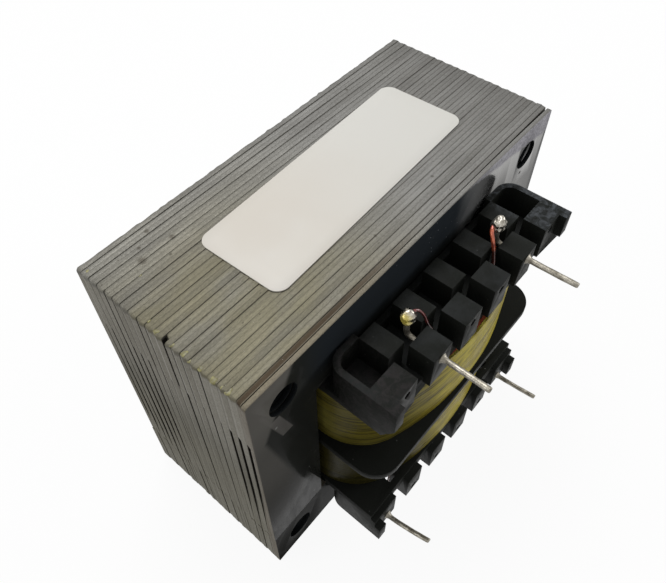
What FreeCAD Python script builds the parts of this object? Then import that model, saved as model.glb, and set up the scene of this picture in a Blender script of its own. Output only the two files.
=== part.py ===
import FreeCAD, Part
import math
import os

# Small mains transformer for a printed circuit board.
# The stack of E and I sheets stands on its lower edge, with the coil's axis along +Z.
# X runs along the long edge of the sheets and Y through the stack: the pins point towards -Y.
# The origin is the middle of the face that the stack stands on.

V = FreeCAD.Vector

# Core sheets
sheet_t = 0.5            # one sheet of steel
pair_count = 19          # pairs of layers: yoke up in front, yoke down behind it
                         # one more layer, its yoke up, closes the stack at the back
pair_gap = 0.105         # varnish and burrs between one pair and the next
leg_w = 8.0              # outer leg, yoke and I strip are equally wide
centre_w = 16.0          # middle leg
window_w = 8.0           # window between the legs
window_h = 24.0
butt_gap = 0.05          # between the tips of the legs and the I strip
strip_short = 0.1        # the strips are this much narrower than the yokes
strip_shift = 0.12       # the strips stand out to the right by this much
hole_d = 3.5             # fixing holes through the four corners
hole_edge_x = 4.0        # their distance from the ends of the sheets
hole_edge_z = 4.0        # and from the upper and lower edges
inner_hole_sides = 6     # holes of the sheets inside the stack, flat sided around hole_d
lean_back = 0.42         # the left legs lean inwards at their tips: at the back of the stack,
lean_middle = 0.05       # in its middle
lean_front = 0.24        # and in the first pairs at the front
lean_front_pairs = 3
lean_back_pairs = 7
curl_out = 0.3           # the front sheet's right-hand end curls forwards by this much
curl_length = 17.0       # over this length

# Bobbin, one moulding
tube_clear = 0.15        # between the middle leg and the tube
tube_wall = 0.95
flange_t = 1.0
flange_end_clear = 0.2   # between the end flanges and the yokes
flange_side_clear = 0.8  # between the end flanges and the outer legs
flange_corner_r = 3.0
flange_reach = 6.9       # how far the end flanges reach in front of the core and behind it
divider_reach = 7.8
divider_t = 1.0
divider_side_clear = 0.45

# Terminal rails: one along each end flange, in front of the yokes
rail_rise = 4.2          # from the end flange's outer face to the top of the blocks
deck_t = 0.8             # plate under the blocks
rail_clear = 0.35        # between the rail and the front sheet
rear_wall_t = 0.65
rear_wall_rise = 2.4
pin_pitch = 5.0
place_count = 6          # pin places on each rail
rear_block_w = 2.3       # blocks of the row next to the core, between the pin places
rear_block_start = 1.1
rear_block_end = 4.4
front_block_w = 2.8      # blocks of the outer row, one at each inner pin place
front_block_start = 4.95
front_block_end = 7.7
end_block_inset = 1.4    # from the last pin place to the end block's inner side
end_overhang = 2.7       # and to the end of the rail
end_block_end = 7.5
end_ear_w = 1.2          # ear at the outer end of each end block, further out in front
end_ear_end = 8.3
end_ear_lift = 1.3       # from the flange to the ear
end_rim_t = 0.7          # rim of the pocket behind each end block
end_rim_r = 1.9
slot_w = 1.2             # wire slots through deck and flange, between the pin places
slot_start = 4.95
slot_end = 6.1

# Pins, solder and leads
pin_d = 0.6
pin_hole_clear = 0.1     # around the pin, between it and the flats of its hole
pin_rise = 3.2           # from the end flange's outer face to the middle of the pins
pin_tip = 13.2           # tips of the pins, in front of the core
pin_flare_w = 1.1        # the pin's foot against the front of its block
pin_flare_length = 0.6
terminal_at = 3.9        # the upright ends of the pins, in front of the core
terminal_rise = 1.75     # above the blocks
terminal_w = 0.55        # across the flats of the pin inside its block and of its upright end
pin_bend_cut = 0.6       # cut across the outside of the pin's bend
wire_sides = 8           # sides of the pins' hidden lengths, of their holes and of the solder
lead_sides = 6
secondary_pitches = 1.5  # pins in use on the upper rail, in pitches from the middle
primary_pitches = 2.5    # and on the lower one
solder_w = 1.6
solder_h = 1.8
solder_chamfer = 0.4
solder_above = 0.2       # top of the solder over the end of its pin
secondary_wire_d = 0.42
primary_wire_d = 0.22

# Coils and tape
coil_end_clear = 0.1     # between the coils and the plates beside them
coil_tube_clear = 0.05
secondary_reach = 7.6    # crown of the upper coil's tape, in front of and behind the core
primary_reach = 7.1
coil_side_clear = 1.0    # between the tape and the outer legs
coil_corner_r = 6.5
coil_crown_r = 31.0
tape_t = 0.3

# Label
label_w = 30.5
label_d = 10.3
label_t = 0.12
label_corner_r = 1.3
label_at_x = 0.7
label_behind_front = 10.99
label_turn = 1.9         # degrees

# Sizes that follow
core_w = centre_w + 2 * window_w + 2 * leg_w
core_h = window_h + 2 * leg_w
pair_pitch = 2 * sheet_t + pair_gap
stack_d = pair_count * pair_pitch + sheet_t
front = -stack_d / 2
mid_z = core_h / 2
leg_tip_z = core_h - leg_w
leg_inner_x = centre_w / 2 + window_w
strip_h = leg_w - strip_short
lower_flange_z = leg_w + flange_end_clear
upper_flange_z = core_h - lower_flange_z
flange_half = leg_inner_x - flange_side_clear
rail_top = upper_flange_z + rail_rise
deck_top = upper_flange_z + deck_t
upper_pin_z = upper_flange_z + pin_rise
rail_half = (place_count - 1) / 2 * pin_pitch + end_overhang
terminal_top = rail_top + terminal_rise


def ahead(distance):
    """Y of a point this far in front of the core."""
    return front - distance


def block(x_low, x_high, near, far, z_low, z_high):
    """A box in front of the core, between two distances from it."""
    return Part.makeBox(x_high - x_low, far - near, z_high - z_low, V(x_low, ahead(far), z_low))


def upside_down(shape):
    """The same shape at the other end of the coil."""
    return shape.mirror(V(0, 0, mid_z), V(0, 0, 1))


def tidy(shape):
    """One clean solid without seams between merged faces."""
    return shape.removeSplitter().Solids[0]


def flat_sided(centre, along, width, sides):
    """A regular outline square to along, its flats this wide apart."""
    direction = V(along).normalize()
    level = V(1, 0, 0) if abs(direction.x) < 0.9 else V(0, 0, 1)
    across = direction.cross(level).normalize()
    up = direction.cross(across)
    radius = width / 2 / math.cos(math.pi / sides)
    turns = [math.pi * (2 * k + 1) / sides for k in range(sides)]
    points = [centre + across * (radius * math.cos(t)) + up * (radius * math.sin(t)) for t in turns]
    return Part.makePolygon(points + points[:1])


def flat_sided_bar(centre, along, width, sides):
    """A straight bar with that outline, as long as along."""
    return Part.Face(flat_sided(centre, along, width, sides)).extrude(along)


# Core

def hole_wire(x, z, y, is_round):
    """Edge of a fixing hole on the sheet plane at y."""
    if is_round:
        return Part.Wire(Part.makeCircle(hole_d / 2, V(x, y, z), V(0, 1, 0)))
    return flat_sided(V(x, y, z), V(0, 1, 0), hole_d, inner_hole_sides)


def sheet(outline, hole_z, y, is_round, thickness=sheet_t):
    """A sheet with two fixing holes, from its outline in X and Z."""
    points = [V(x, y, z) for x, z in outline]
    hole_x = core_w / 2 - hole_edge_x
    holes = [hole_wire(side * hole_x, hole_z, y, is_round) for side in (-1, 1)]
    edges = [Part.makePolygon(points + points[:1])] + holes
    face = Part.makeFace(edges, "Part::FaceMakerBullseye")
    return face.extrude(V(0, thickness, 0)).Solids[0]


def e_outline(lean=0.0):
    """An E with its yoke down, its left leg leaning inwards by lean at the tip."""
    end, inner, middle = core_w / 2, leg_inner_x, centre_w / 2
    root, tip = leg_w, leg_tip_z
    return [(-end, 0), (end, 0), (end, tip), (inner, tip), (inner, root), (middle, root),
            (middle, tip), (-middle, tip), (-middle, root), (-inner, root),
            (lean - inner, tip), (lean - end, tip), (-end, root)]


def turned_over(outline):
    """The outline with its upper side down."""
    return [(x, core_h - z) for x, z in outline]


def strip_outline():
    """The I strip that closes the legs of an E with its yoke down."""
    low = leg_tip_z + butt_gap
    left, right = strip_shift - core_w / 2, strip_shift + core_w / 2
    return [(left, low), (right, low), (right, low + strip_h), (left, low + strip_h)]


def lean_of(pair):
    """How far the left leg's tip leans inwards in this pair, counted from the front."""
    if pair < lean_front_pairs:
        return lean_front
    from_back = pair_count - 1 - pair
    if from_back >= lean_back_pairs:
        return lean_middle
    return lean_middle + (lean_back - lean_middle) * min(1.0, 1.5 * (1 - from_back / lean_back_pairs))


def front_sheet():
    """The front E, with its yoke up and its right-hand end curled forwards."""
    start = core_w / 2 - curl_length
    left, flat_back = -core_w / 2, front + sheet_t
    radius = (curl_length ** 2 + curl_out ** 2) / (2 * curl_out)

    def on_curl(share, r):
        angle = share * math.asin(curl_length / radius)
        return V(start + r * math.sin(angle), flat_back - radius + r * math.cos(angle), 0)

    inner_r = radius - sheet_t
    section = Part.Wire([
        Part.makeLine(V(left, front, 0), V(left, flat_back, 0)),
        Part.makeLine(V(left, flat_back, 0), on_curl(0, radius)),
        Part.Arc(on_curl(0, radius), on_curl(0.5, radius), on_curl(1, radius)).toShape(),
        Part.makeLine(on_curl(1, radius), on_curl(1, inner_r)),
        Part.Arc(on_curl(1, inner_r), on_curl(0.5, inner_r), on_curl(0, inner_r)).toShape(),
        Part.makeLine(on_curl(0, inner_r), V(left, front, 0)),
    ])
    curled = Part.Face(section).extrude(V(0, 0, core_h))
    depth = curl_out + 2 * sheet_t
    punched = sheet(turned_over(e_outline()), core_h - hole_edge_z, front + sheet_t - depth,
                    True, depth)
    return curled.common(punched).Solids[0]


def core_sheets():
    """Every layer of the stack: an E and the strip that closes it, by turns up and down."""
    yoke_up, yoke_down, top_strips, bottom_strips = [], [], [], []
    upper_hole, lower_hole = core_h - hole_edge_z, hole_edge_z
    for pair in range(pair_count + 1):
        y_up = front + pair * pair_pitch
        outermost = pair in (0, pair_count)
        bottom_strips.append(sheet(turned_over(strip_outline()), lower_hole, y_up, outermost))
        if pair > 0:
            yoke_up.append(sheet(turned_over(e_outline()), upper_hole, y_up, outermost))
        if pair < pair_count:
            y_down = y_up + sheet_t
            yoke_down.append(sheet(e_outline(lean_of(pair)), lower_hole, y_down, False))
            top_strips.append(sheet(strip_outline(), upper_hole, y_down, False))
    return yoke_up, yoke_down, top_strips, bottom_strips


# Bobbin

def coil_plate(half_w, reach, z_low, thick, front_r):
    """A plate across the tube: an end flange or the divider."""
    plate = Part.makeBox(2 * half_w, stack_d + 2 * reach, thick, V(-half_w, front - reach, z_low))
    upright = [e for e in plate.Edges if abs(e.BoundBox.ZLength - thick) < 1e-6]
    rear = [e for e in upright if e.BoundBox.YMin > 0]
    ahead_edges = [e for e in upright if e.BoundBox.YMin < 0]
    plate = plate.makeFillet(flange_corner_r, rear)
    if front_r:
        ahead_edges = [e for e in plate.Edges
                       if abs(e.BoundBox.ZLength - thick) < 1e-6 and e.BoundBox.YMax < front]
        plate = plate.makeFillet(front_r, ahead_edges)
    return plate


def tube():
    """The square tube around the middle leg, open at both ends."""
    inner_x = centre_w / 2 + tube_clear
    inner_y = stack_d / 2 + tube_clear
    height = upper_flange_z - lower_flange_z
    outer = Part.makeBox(2 * (inner_x + tube_wall), 2 * (inner_y + tube_wall), height,
                         V(-inner_x - tube_wall, -inner_y - tube_wall, lower_flange_z))
    return outer, Part.makeBox(2 * inner_x, 2 * inner_y, core_h, V(-inner_x, -inner_y, 0))


def end_block(side):
    """An end block of the upper rail, with the rimmed pocket behind it and the ear in front."""
    inner_x = (place_count - 1) / 2 * pin_pitch - end_block_inset
    solid = block(inner_x, rail_half, rail_clear, end_block_end, upper_flange_z, rail_top)
    rear_corner = [e for e in solid.Edges
                   if e.BoundBox.XMin > rail_half - 1e-6 and e.BoundBox.ZLength > 1
                   and e.BoundBox.YMin > ahead(rail_clear) - 1e-3]
    solid = solid.makeFillet(end_rim_r, rear_corner)
    pocket = block(inner_x, rail_half - end_rim_t, rail_clear + rear_wall_t, front_block_start,
                   deck_top, rail_top)
    pocket_corner = [e for e in pocket.Edges
                     if e.BoundBox.XMin > rail_half - end_rim_t - 1e-6 and e.BoundBox.ZLength > 1
                     and e.BoundBox.YMin > ahead(rail_clear + rear_wall_t) - 1e-3]
    solid = solid.cut(pocket.makeFillet(end_rim_r - end_rim_t, pocket_corner))
    solid = solid.fuse(block(rail_half - end_ear_w, rail_half, front_block_start, end_ear_end,
                             upper_flange_z + end_ear_lift, rail_top))
    return solid if side > 0 else solid.mirror(V(0, 0, 0), V(1, 0, 0))


def upper_rail():
    """The crenellated rail over the upper yoke: two rows of blocks, set by turns."""
    half = rail_half - end_rim_r
    deck = block(-half, half, rail_clear, flange_reach, upper_flange_z, deck_top)
    rear_wall = block(-half, half, rail_clear, rail_clear + rear_wall_t,
                      upper_flange_z, upper_flange_z + rear_wall_rise)
    bits = [rear_wall, end_block(-1), end_block(1)]
    for k in range(place_count - 1):
        x = (k - (place_count - 2) / 2) * pin_pitch
        bits.append(block(x - rear_block_w / 2, x + rear_block_w / 2,
                          rear_block_start - 0.1, rear_block_end, upper_flange_z, rail_top))
        deck = deck.cut(block(x - slot_w / 2, x + slot_w / 2, slot_start, slot_end, 0, core_h))
    for k in range(place_count - 2):
        x = (k - (place_count - 3) / 2) * pin_pitch
        bits.append(block(x - front_block_w / 2, x + front_block_w / 2,
                          front_block_start, front_block_end, upper_flange_z, rail_top))
    rail = deck.multiFuse(bits)
    for k in range(place_count):
        x = (k - (place_count - 1) / 2) * pin_pitch
        rail = rail.cut(flat_sided_bar(V(x, ahead(front_block_start - 0.5), upper_pin_z),
                                       V(0, -end_block_end, 0), pin_d + 2 * pin_hole_clear,
                                       wire_sides))
    return rail


def bobbin():
    """Tube, two end flanges with their rails, and the divider between the two coils."""
    upper_flange = coil_plate(flange_half, flange_reach, upper_flange_z - flange_t, flange_t, 0)
    for k in range(place_count - 1):
        x = (k - (place_count - 2) / 2) * pin_pitch
        upper_flange = upper_flange.cut(
            block(x - slot_w / 2, x + slot_w / 2, slot_start, slot_end, 0, core_h))
    upper_end = upper_flange.fuse(upper_rail())
    divider = coil_plate(leg_inner_x - divider_side_clear, divider_reach, mid_z - divider_t / 2,
                         divider_t, flange_corner_r)
    outer, bore = tube()
    whole = outer.multiFuse([divider, upper_end, upside_down(upper_end)])
    return tidy(whole.cut(bore))


# Coils and tape

def coil_outline(reach, inset, z):
    """Rounded outline of a coil, crowned at its front and back, moved inwards by inset."""
    half = leg_inner_x - coil_side_clear - inset
    corner, crown = coil_corner_r - inset, coil_crown_r - inset
    crown_y = front - reach + inset + crown
    corner_x = half - corner
    corner_y = crown_y - math.sqrt((crown - corner) ** 2 - corner_x ** 2)
    turn = math.atan2(corner_x, crown_y - corner_y)
    meet = V(crown * math.sin(turn), crown_y - crown * math.cos(turn), z)
    mid_turn = (turn + math.pi / 2) / 2
    mid = V(corner_x + corner * math.sin(mid_turn), corner_y - corner * math.cos(mid_turn), z)
    side = V(half, corner_y, z)

    def at(point, x_sign, y_sign):
        return V(x_sign * point.x, y_sign * point.y, z)

    edges = []
    for y_sign in (1, -1):
        tip = V(0, y_sign * (front - reach + inset), z)
        edges.append(Part.Arc(at(meet, -1, y_sign), tip, at(meet, 1, y_sign)).toShape())
        for x_sign in (1, -1):
            edges.append(Part.Arc(at(meet, x_sign, y_sign), at(mid, x_sign, y_sign),
                                  at(side, x_sign, y_sign)).toShape())
    for x_sign in (1, -1):
        edges.append(Part.makeLine(at(side, x_sign, 1), at(side, x_sign, -1)))
    return Part.Wire(Part.__sortEdges__(edges))


def coil_and_tape(reach, z_low, z_high):
    """A wound coil around the tube, and the tape wrapped over it."""
    low, high = z_low + coil_end_clear, z_high - coil_end_clear
    gap = tube_clear + tube_wall + coil_tube_clear
    hole = Part.makeBox(centre_w + 2 * gap, stack_d + 2 * gap, core_h,
                        V(-centre_w / 2 - gap, front - gap, 0))
    full = Part.Face(coil_outline(reach, 0, low)).extrude(V(0, 0, high - low))
    wound = Part.Face(coil_outline(reach, tape_t, low)).extrude(V(0, 0, high - low))
    return wound.cut(hole).Solids[0], full.cut(wound).Solids[0]


# Pins, solder and leads

def rod(points, width, sides):
    """A flat-sided rod through the points, with mitred corners."""
    outline = flat_sided(points[0], points[1] - points[0], width, sides)
    return Part.makePolygon(points).makePipeShell([outline], True, False, 1)


def upper_pin(x, face):
    """A pin of the upper rail: the upright end for the wire, and the round leg for the board.

    The leg starts at a small flare against its block, whose front is at face.
    """
    leg_start = face + pin_flare_length
    z = upper_pin_z
    inner = rod([V(x, ahead(leg_start), z), V(x, ahead(terminal_at + pin_bend_cut), z),
                 V(x, ahead(terminal_at), z + pin_bend_cut), V(x, ahead(terminal_at), terminal_top)],
                terminal_w, wire_sides)
    flare = Part.makeCone(pin_flare_w / 2, pin_d / 2, pin_flare_length,
                          V(x, ahead(face), z), V(0, -1, 0))
    leg = Part.makeCylinder(pin_d / 2, pin_tip - leg_start, V(x, ahead(leg_start), z), V(0, -1, 0))
    return inner.multiFuse([flare, leg]).Solids[0]


def upper_lead(x, side, wire_d):
    """A coil's end, from its terminal over the corner of the blocks and down a wire slot."""
    slot_x = x - side * pin_pitch / 2
    slot_y = ahead((slot_start + slot_end) / 2)
    corner_x = slot_x + side * (rear_block_w / 2 - 0.15)
    corner_y = ahead((rear_block_end + front_block_start) / 2)
    points = [V(x - side * (pin_d + wire_d) / 2 * 1.15, ahead(terminal_at + 0.1), terminal_top - 0.35),
              V(corner_x, corner_y, rail_top + wire_d),
              V(slot_x, slot_y, deck_top + 1.3),
              V(slot_x, slot_y, upper_flange_z - flange_t - coil_end_clear)]
    return rod(points, wire_d, lead_sides)


def upper_solder(x, pin, lead):
    """The drop of solder that holds a coil's end to its terminal."""
    foot = V(x, ahead(terminal_at), terminal_top + solder_above - solder_h)
    drop = flat_sided_bar(foot, V(0, 0, solder_h), solder_w, wire_sides)
    ends = [e for e in drop.Edges if e.BoundBox.ZLength < 1e-6]
    return drop.makeChamfer(solder_chamfer, ends).cut(pin).cut(lead).Solids[0]


def connections(pitches, face, wire_d):
    """Pins, leads and solder of both ends of one coil, on the upper rail."""
    found, place = {}, pitches * pin_pitch
    for name, side in (("left", -1), ("right", 1)):
        pin = upper_pin(side * place, face)
        lead = upper_lead(side * place, side, wire_d)
        found[name] = (pin, lead, upper_solder(side * place, pin, lead))
    return found


# Label

def label():
    """The paper label on the upper face, turned a little."""
    plate = Part.makeBox(label_w, label_d, label_t, V(-label_w / 2, -label_d / 2, 0))
    corners = [e for e in plate.Edges if abs(e.BoundBox.ZLength - label_t) < 1e-6
               and e.BoundBox.XLength < 1e-6 and e.BoundBox.YLength < 1e-6]
    plate = plate.makeFillet(label_corner_r, corners)
    plate.rotate(V(0, 0, 0), V(0, 0, 1), label_turn)
    plate.translate(V(label_at_x, front + label_behind_front, core_h))
    return plate


def main():
    os.makedirs("parts", exist_ok=True)
    parts = {"front_lamination": front_sheet(), "bobbin": bobbin(), "label": label()}
    yoke_up, yoke_down, top_strips, bottom_strips = core_sheets()
    parts["e_laminations_yoke_up"] = Part.makeCompound(yoke_up)
    parts["e_laminations_yoke_down"] = Part.makeCompound(yoke_down)
    parts["i_laminations_top"] = Part.makeCompound(top_strips)
    parts["i_laminations_bottom"] = Part.makeCompound(bottom_strips)
    upper_chamber = (mid_z + divider_t / 2, upper_flange_z - flange_t)
    lower_chamber = (lower_flange_z + flange_t, mid_z - divider_t / 2)
    parts["secondary_winding"], parts["secondary_tape"] = coil_and_tape(
        secondary_reach, *upper_chamber)
    parts["primary_winding"], parts["primary_tape"] = coil_and_tape(primary_reach, *lower_chamber)
    for side, pieces in connections(secondary_pitches, front_block_end,
                                   secondary_wire_d).items():
        for kind, shape in zip(("pin", "lead", "solder"), pieces):
            parts[f"secondary_{kind}_{side}"] = shape
    for side, pieces in connections(primary_pitches, end_block_end, primary_wire_d).items():
        for kind, shape in zip(("pin", "lead", "solder"), pieces):
            parts[f"primary_{kind}_{side}"] = upside_down(shape)
    for name, shape in parts.items():
        shape.exportStep(f"parts/{name}.step")
        print(name, len(shape.Solids), round(shape.Volume, 2), shape.isValid())


main()
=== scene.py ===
import logging
import math
import random
from dataclasses import dataclass
from enum import Enum
from typing import Callable, Iterable, Sequence

import bpy
from mathutils import Matrix, Vector, noise


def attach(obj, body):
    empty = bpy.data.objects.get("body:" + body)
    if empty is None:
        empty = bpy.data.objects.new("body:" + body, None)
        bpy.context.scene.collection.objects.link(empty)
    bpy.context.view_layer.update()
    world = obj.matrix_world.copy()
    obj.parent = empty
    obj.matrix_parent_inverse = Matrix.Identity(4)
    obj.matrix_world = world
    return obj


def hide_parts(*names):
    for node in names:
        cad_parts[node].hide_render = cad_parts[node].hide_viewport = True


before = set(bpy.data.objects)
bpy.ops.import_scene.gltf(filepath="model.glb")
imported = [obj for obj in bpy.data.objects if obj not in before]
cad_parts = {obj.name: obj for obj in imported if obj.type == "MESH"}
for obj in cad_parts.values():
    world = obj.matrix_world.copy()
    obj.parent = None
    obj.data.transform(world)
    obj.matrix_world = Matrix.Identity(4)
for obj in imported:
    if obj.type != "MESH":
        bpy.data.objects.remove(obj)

# A small transformer for a circuit board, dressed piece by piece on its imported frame.
# X runs along the long edge of the sheets, the pins point towards -Y and the label is on top.
# Sizes and places are in millimetres, and mm() turns them into the scene's metres.

log = logging.getLogger("transformer")
MM = 0.001
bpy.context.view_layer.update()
WIDTH, HEIGHT = 48.0, 40.0
PAIRS, PITCH, THICK = 19, 1.105, 0.5
FRONT = -(PAIRS * PITCH + THICK) / 2
HOLE_EDGE = 4.0
Test = Callable[[Vector, Vector], bool]
Shade = tuple[float, float, float]


class Slot(Enum):
    """Material slots."""

    STEEL = "lamination_steel"
    PLASTIC = "bobbin_plastic"
    COPPER = "enamelled_copper"
    TAPE = "insulation_tape"
    PAPER = "label_paper"
    WIRE = "tinned_wire"
    SOLDER = "solder"


class Kind(Enum):
    """What a tool takes hold of in edit mode."""

    EDGES = (False, True, False)
    FACES = (False, False, True)


def mm(*values: float) -> Vector:
    """A point or size given in millimetres."""
    return Vector(values) * MM


class Value:
    """A number or colour that a node gives, used in sums like a plain number.

    Args:
        nodes: The tree that it belongs to.
        socket: The output that gives it.
    """

    def __init__(self, nodes: "Nodes", socket: bpy.types.NodeSocket) -> None:
        self.nodes, self.socket = nodes, socket

    def __add__(self, other: object) -> "Value":
        """The sum."""
        return self.nodes.math("ADD", self, other)

    def __sub__(self, other: object) -> "Value":
        """The difference."""
        return self.nodes.math("SUBTRACT", self, other)

    def __rsub__(self, other: float) -> "Value":
        """The difference from a plain number."""
        return self.nodes.math("SUBTRACT", other, self)

    def __mul__(self, other: object) -> "Value":
        """The product."""
        return self.nodes.math("MULTIPLY", self, other)

    def __truediv__(self, other: object) -> "Value":
        """The quotient."""
        return self.nodes.math("DIVIDE", self, other)

    def __or__(self, other: object) -> "Value":
        """The larger of the two."""
        return self.nodes.math("MAXIMUM", self, other)

    def __abs__(self) -> "Value":
        """Its size without a sign."""
        return self.nodes.math("ABSOLUTE", self)

    def span(self, low: float, high: float, start: float = 0.0, end: float = 1.0) -> "Value":
        """A smooth step from low to high, as a number from start to end."""
        node = self.nodes.add("ShaderNodeMapRange", interpolation_type="SMOOTHSTEP")
        return self.nodes.fill(node, self, low, high, start, end)

    def mix(self, a: object, b: object) -> "Value":
        """A colour from a, where this is 0, to b, where it is 1."""
        node = self.nodes.add("ShaderNodeMix", data_type="RGBA", blend_type="MIX")
        for index, value in ((0, self), (6, a), (7, b)):
            self.nodes.feed(node.inputs[index], value)
        return Value(self.nodes, node.outputs[2])


class Nodes:
    """A node tree that is built afresh.

    Args:
        owner: The material or world that the tree belongs to.
    """

    def __init__(self, owner: bpy.types.Material | bpy.types.World) -> None:
        owner.use_nodes = True
        self.tree = owner.node_tree
        self.tree.nodes.clear()

    def add(self, kind: str, **settings: object) -> bpy.types.Node:
        """A new node with these settings."""
        node = self.tree.nodes.new(kind)
        for name, value in settings.items():
            setattr(node, name, value)
        return node

    def feed(self, socket: bpy.types.NodeSocket, value: object) -> None:
        """Links an input to a value, or sets it to a number or colour."""
        if isinstance(value, Value):
            self.tree.links.new(value.socket, socket)
        else:
            socket.default_value = (*value, 1) if isinstance(value, tuple) else value

    def fill(self, node: bpy.types.Node, *values: object) -> Value:
        """Feeds a node's first inputs, and gives its first output."""
        for socket, value in zip(node.inputs, values):
            self.feed(socket, value)
        return Value(self, node.outputs[0])

    def math(self, operation: str, *values: object) -> Value:
        """The result of one math node."""
        return self.fill(self.add("ShaderNodeMath", operation=operation), *values)

    def background(self) -> Value:
        """1 where the camera, a mirror or clear matter looks at the background."""
        rays = self.add("ShaderNodeLightPath").outputs
        kinds = ("Is Camera Ray", "Is Glossy Ray", "Is Transmission Ray")
        camera, mirror, clear = (Value(self, rays[kind]) for kind in kinds)
        return camera | mirror | clear

    def blend(self, share: object, a: Value, b: Value) -> Value:
        """Two shaders mixed by a share."""
        return self.fill(self.add("ShaderNodeMixShader"), share, a, b)


class Graph(Nodes):
    """A material's node tree, with short calls for the nodes that the finishes use.

    Args:
        material: The material whose tree is built afresh.
    """

    def __init__(self, material: bpy.types.Material) -> None:
        super().__init__(material)
        self.shader = self.add("ShaderNodeBsdfPrincipled")
        self.surface = self.add("ShaderNodeOutputMaterial").inputs["Surface"]
        self.feed(self.surface, Value(self, self.shader.outputs["BSDF"]))
        self.place = Value(self, self.add("ShaderNodeTexCoord").outputs["Object"])
        self.x, self.y, self.z = (value * (1 / MM) for value in self.split(self.place))

    def split(self, vector: Value) -> list[Value]:
        """A vector's X, Y and Z."""
        node = self.add("ShaderNodeSeparateXYZ")
        self.fill(node, vector)
        return [Value(self, socket) for socket in node.outputs]

    def layers(self, colour: Value, *coats: tuple[Value, object]) -> Value:
        """A colour with others laid over it in turn, each where its mask is 1."""
        for mask, shade in coats:
            colour = mask.mix(colour, shade)
        return colour

    def noise(self, per_mm: float | Sequence[float], detail: float = 3.0, rough: float = 0.55,
              distortion: float = 0.0, shift: float = 0.0) -> Value:
        """Noise from 0 to 1 with so many cells to the millimetre.

        Args:
            per_mm: Cells to the millimetre, one number or one for each axis.
            detail: Octaves of the noise.
            rough: How strong the finer octaves are.
            distortion: How far the noise is warped.
            shift: Moves the pattern, so that two noises differ.

        Returns:
            The noise.
        """
        node = self.add("ShaderNodeTexNoise")
        for name, value in (("Vector", self.stretched(per_mm, shift)), ("Scale", 1.0), ("Detail", detail),
                            ("Roughness", rough), ("Distortion", distortion)):
            self.feed(node.inputs[name], value)
        return Value(self, node.outputs[0])

    def cells(self, per_mm: float | Sequence[float], shift: float, feature: str = "F1") -> Value:
        """Distance in a Voronoi pattern with so many cells to the millimetre."""
        node = self.add("ShaderNodeTexVoronoi", feature=feature)
        self.feed(node.inputs["Vector"], self.stretched(per_mm, shift))
        self.feed(node.inputs["Scale"], 1.0)
        return Value(self, node.outputs["Distance"])

    def stretched(self, per_mm: float | Sequence[float], shift: float) -> Value:
        """Object coordinates scaled for a pattern."""
        node = self.add("ShaderNodeMapping")
        axes = per_mm if isinstance(per_mm, tuple) else (per_mm,) * 3
        node.inputs["Scale"].default_value = [c / MM for c in axes]
        node.inputs["Location"].default_value = (shift, shift * 0.7, shift * 1.3)
        return self.fill(node, self.place)

    def spot(self, centre: Sequence[float], radius: float, soft: float = 0.5) -> Value:
        """1 inside a ball and 0 outside it, with a soft edge."""
        node = self.add("ShaderNodeVectorMath", operation="DISTANCE")
        self.fill(node, self.place, mm(*centre))
        return Value(self, node.outputs["Value"]).span(radius * (1 - soft) * MM, radius * MM, 1.0, 0.0)

    def bump(self, height: Value, depth: float, under: Value | None = None) -> Value:
        """A bump of this depth, over another bump where one is given."""
        node = self.add("ShaderNodeBump")
        settings = {"Strength": 1.0, "Distance": depth * MM, "Height": height}
        if under is not None:
            settings["Normal"] = under
        for name, value in settings.items():
            self.feed(node.inputs[name], value)
        return Value(self, node.outputs[0])

    def shade(self, colour: object, rough: object, **others: object) -> None:
        """Sets or links the shader's sockets, the others named with underscores for spaces."""
        for name, value in {"Base_Color": colour, "Roughness": rough, **others}.items():
            self.feed(self.shader.inputs[name.replace("_", " ")], value)


@dataclass(frozen=True)
class Finish:
    """A finish that is painted once and then shared by its pieces.

    Args:
        name: The material's name.
    """

    name: str

    def material(self) -> bpy.types.Material:
        """The finish as a material."""
        made = bpy.data.materials.get(self.name)
        if made is None:
            made = bpy.data.materials.new(self.name)
            self.paint(Graph(made))
        return made

    def paint(self, g: Graph) -> None:
        """Builds the finish's nodes."""
        raise NotImplementedError


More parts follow.
